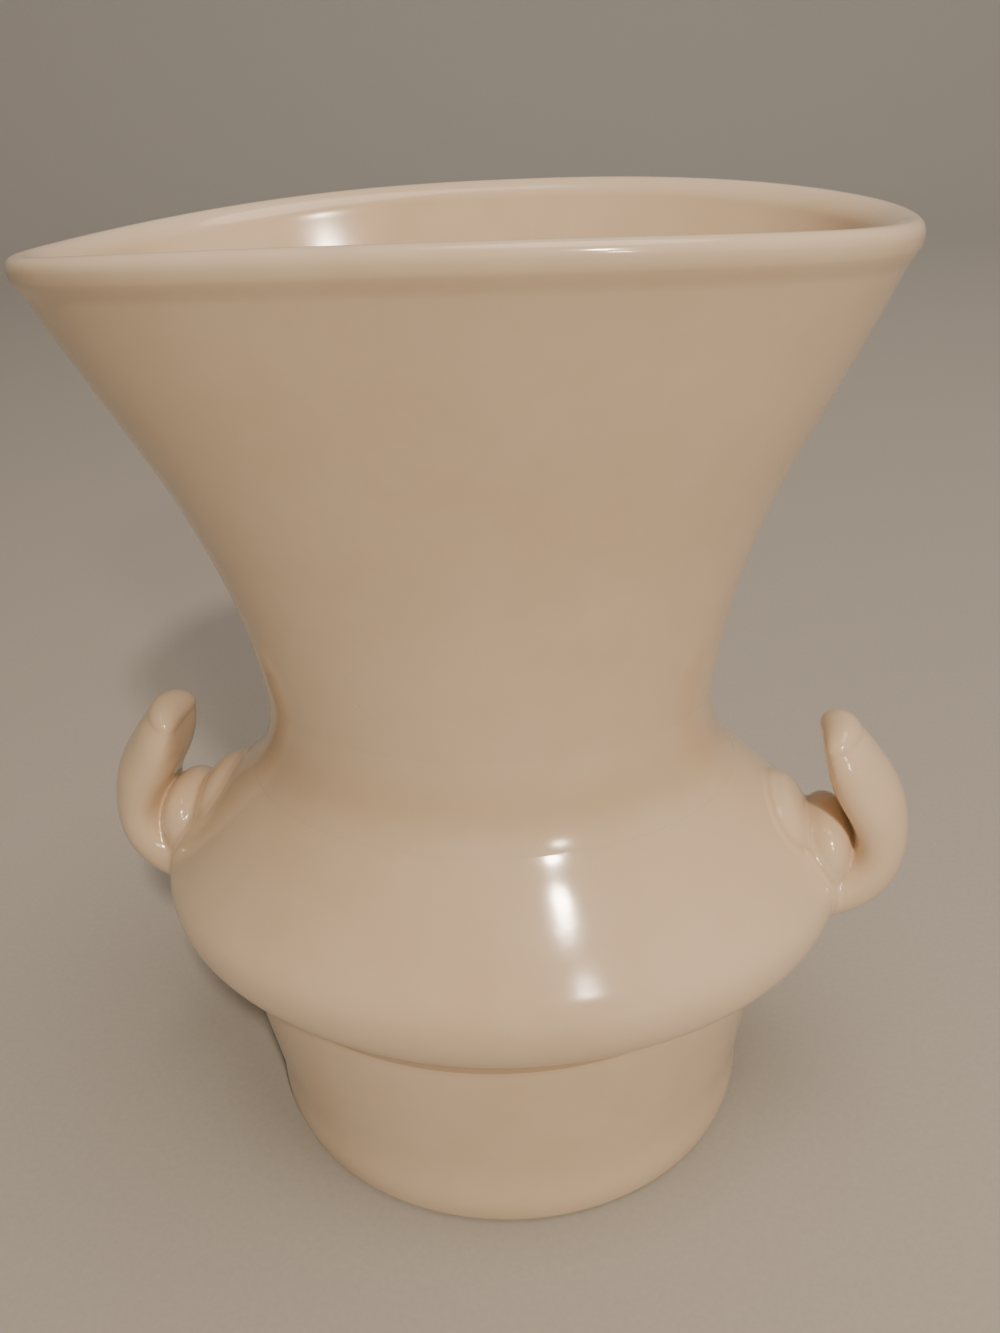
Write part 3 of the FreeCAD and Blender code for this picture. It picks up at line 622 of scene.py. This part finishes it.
# ---------------------------------------------------------------------- camera
def camera():
    al, dist, up, pitch, roll, eta, f = math.radians(10.87), 1.080, 1.084, math.radians(26.62), math.radians(-3.12), math.radians(-0.77), 1141.0
    c = Vector((dist * math.sin(al), -dist * math.cos(al), up)) * H
    h = Vector((-math.sin(al + eta), math.cos(al + eta), 0))
    fw = h * math.cos(pitch) + Vector((0, 0, -math.sin(pitch)))
    rt = fw.cross(Vector((0, 0, 1))).normalized()
    upv = rt.cross(fw)
    r2 = rt * math.cos(roll) + upv * math.sin(roll)
    u2 = upv * math.cos(roll) - rt * math.sin(roll)
    cam = bpy.data.cameras.new("camera")
    cam.sensor_width = 36.0
    cam.sensor_fit = "AUTO"
    cam.lens = f / 1333.0 * 36.0
    cam.clip_start = 0.005
    cam.clip_end = 20.0
    o = bpy.data.objects.new("camera", cam)
    bpy.context.scene.collection.objects.link(o)
    m = Matrix.Identity(4)
    for i in range(3):
        m[i][0], m[i][1], m[i][2], m[i][3] = r2[i], u2[i], -fw[i], c[i]
    o.matrix_world = m
    bpy.context.scene.camera = o
    return o


camera()


# ----------------------------------------------------------- floor and backdrop
def backdrop():
    """Floor that sweeps up into a wall on every side."""
    rings, seg = [], 96
    t = np.linspace(0, 2 * math.pi, seg, endpoint=False)
    rad, bend = 1.3, 0.7
    prof = [(r, 0.0) for r in (0.05, 0.2, 0.4, 0.7, 1.0, rad)]
    prof += [(rad + bend * math.sin(a), bend - bend * math.cos(a)) for a in np.linspace(0, math.pi / 2, 20)[1:]]
    prof += [(rad + bend, bend + 0.3 * i) for i in range(1, 8)]
    v = [(0, 0, 0)] + [(r * math.cos(a), r * math.sin(a), z) for r, z in prof for a in t]
    f = [(0, 1 + i, 1 + (i + 1) % seg) for i in range(seg)]
    for k in range(len(prof) - 1):
        p, q = 1 + k * seg, 1 + (k + 1) * seg
        f += [(p + i, q + i, q + (i + 1) % seg, p + (i + 1) % seg) for i in range(seg)]
    me = bpy.data.meshes.new("backdrop")
    me.from_pydata(v, [], f)
    me.shade_smooth()
    o = bpy.data.objects.new("backdrop", me)
    bpy.context.scene.collection.objects.link(o)
    m = bpy.data.materials.new("backdrop_paper")
    m.use_nodes = True
    nt = m.node_tree
    b = nt.nodes["Principled BSDF"]
    co = nt.nodes.new("ShaderNodeTexCoord").outputs["Object"]
    n = ramp(nt, noise(nt, co, 900.0, 4.0, 0.7), 0.3, 0.7)
    nt.links.new(mix_rgb(nt, n, (0.44, 0.427, 0.405, 1), (0.47, 0.457, 0.435, 1)), b.inputs["Base Color"])
    b.inputs["Roughness"].default_value = 0.85
    b.inputs["Specular IOR Level"].default_value = 0.2
    bump = node(nt, "ShaderNodeBump", Strength=0.5, Distance=0.00004)
    nt.links.new(noise(nt, co, 1800.0, 3.0, 0.6), bump.inputs["Height"])
    nt.links.new(bump.outputs[0], b.inputs["Normal"])
    me.materials.append(m)


backdrop()


# ---------------------------------------------------------------------- lights
def area(name, loc, target, size, power, color, shape="RECTANGLE"):
    l = bpy.data.lights.new(name, "AREA")
    l.shape = shape
    l.size = size[0]
    if shape == "RECTANGLE":
        l.size_y = size[1]
    l.energy = power
    l.color = color
    o = bpy.data.objects.new(name, l)
    bpy.context.scene.collection.objects.link(o)
    o.location = loc
    d = Vector(target) - Vector(loc)
    o.rotation_euler = d.to_track_quat("-Z", "Y").to_euler()
    return o


def from_angle(az, el, dist):
    """Azimuth from the front (-Y) towards +X, elevation above level, in degrees."""
    az, el = math.radians(az), math.radians(el)
    return (dist * math.sin(az) * math.cos(el), -dist * math.cos(az) * math.cos(el), 0.07 + dist * math.sin(el))


area("key_high", from_angle(25, 41, 1.3), (0, 0, 0.07), (0.09, 0.09), 9.5, (1.0, 0.81, 0.62), "DISK")
area("key_low", from_angle(27, 28, 1.3), (0, 0, 0.07), (0.09, 0.09), 2.6, (1.0, 0.81, 0.62), "DISK")
area("top", (0.22, -0.10, 1.35), (0, 0, 0.07), (0.9, 0.9), 9.0, (1.0, 0.85, 0.69), "DISK")
area("fill", (0.9, -0.5, 0.45), (0, 0, 0.08), (0.6, 0.6), 0.25, (1.0, 0.86, 0.72))
area("wall_wash", (0.0, 0.75, 1.5), (0, 2.0, 0.9), (1.2, 0.5), 9.0, (1.0, 0.93, 0.86))
w = bpy.data.worlds.new("world")
bpy.context.scene.world = w
w.use_nodes = True
w.node_tree.nodes["Background"].inputs[0].default_value = (0.92, 0.82, 0.71, 1)
w.node_tree.nodes["Background"].inputs[1].default_value = 0.05
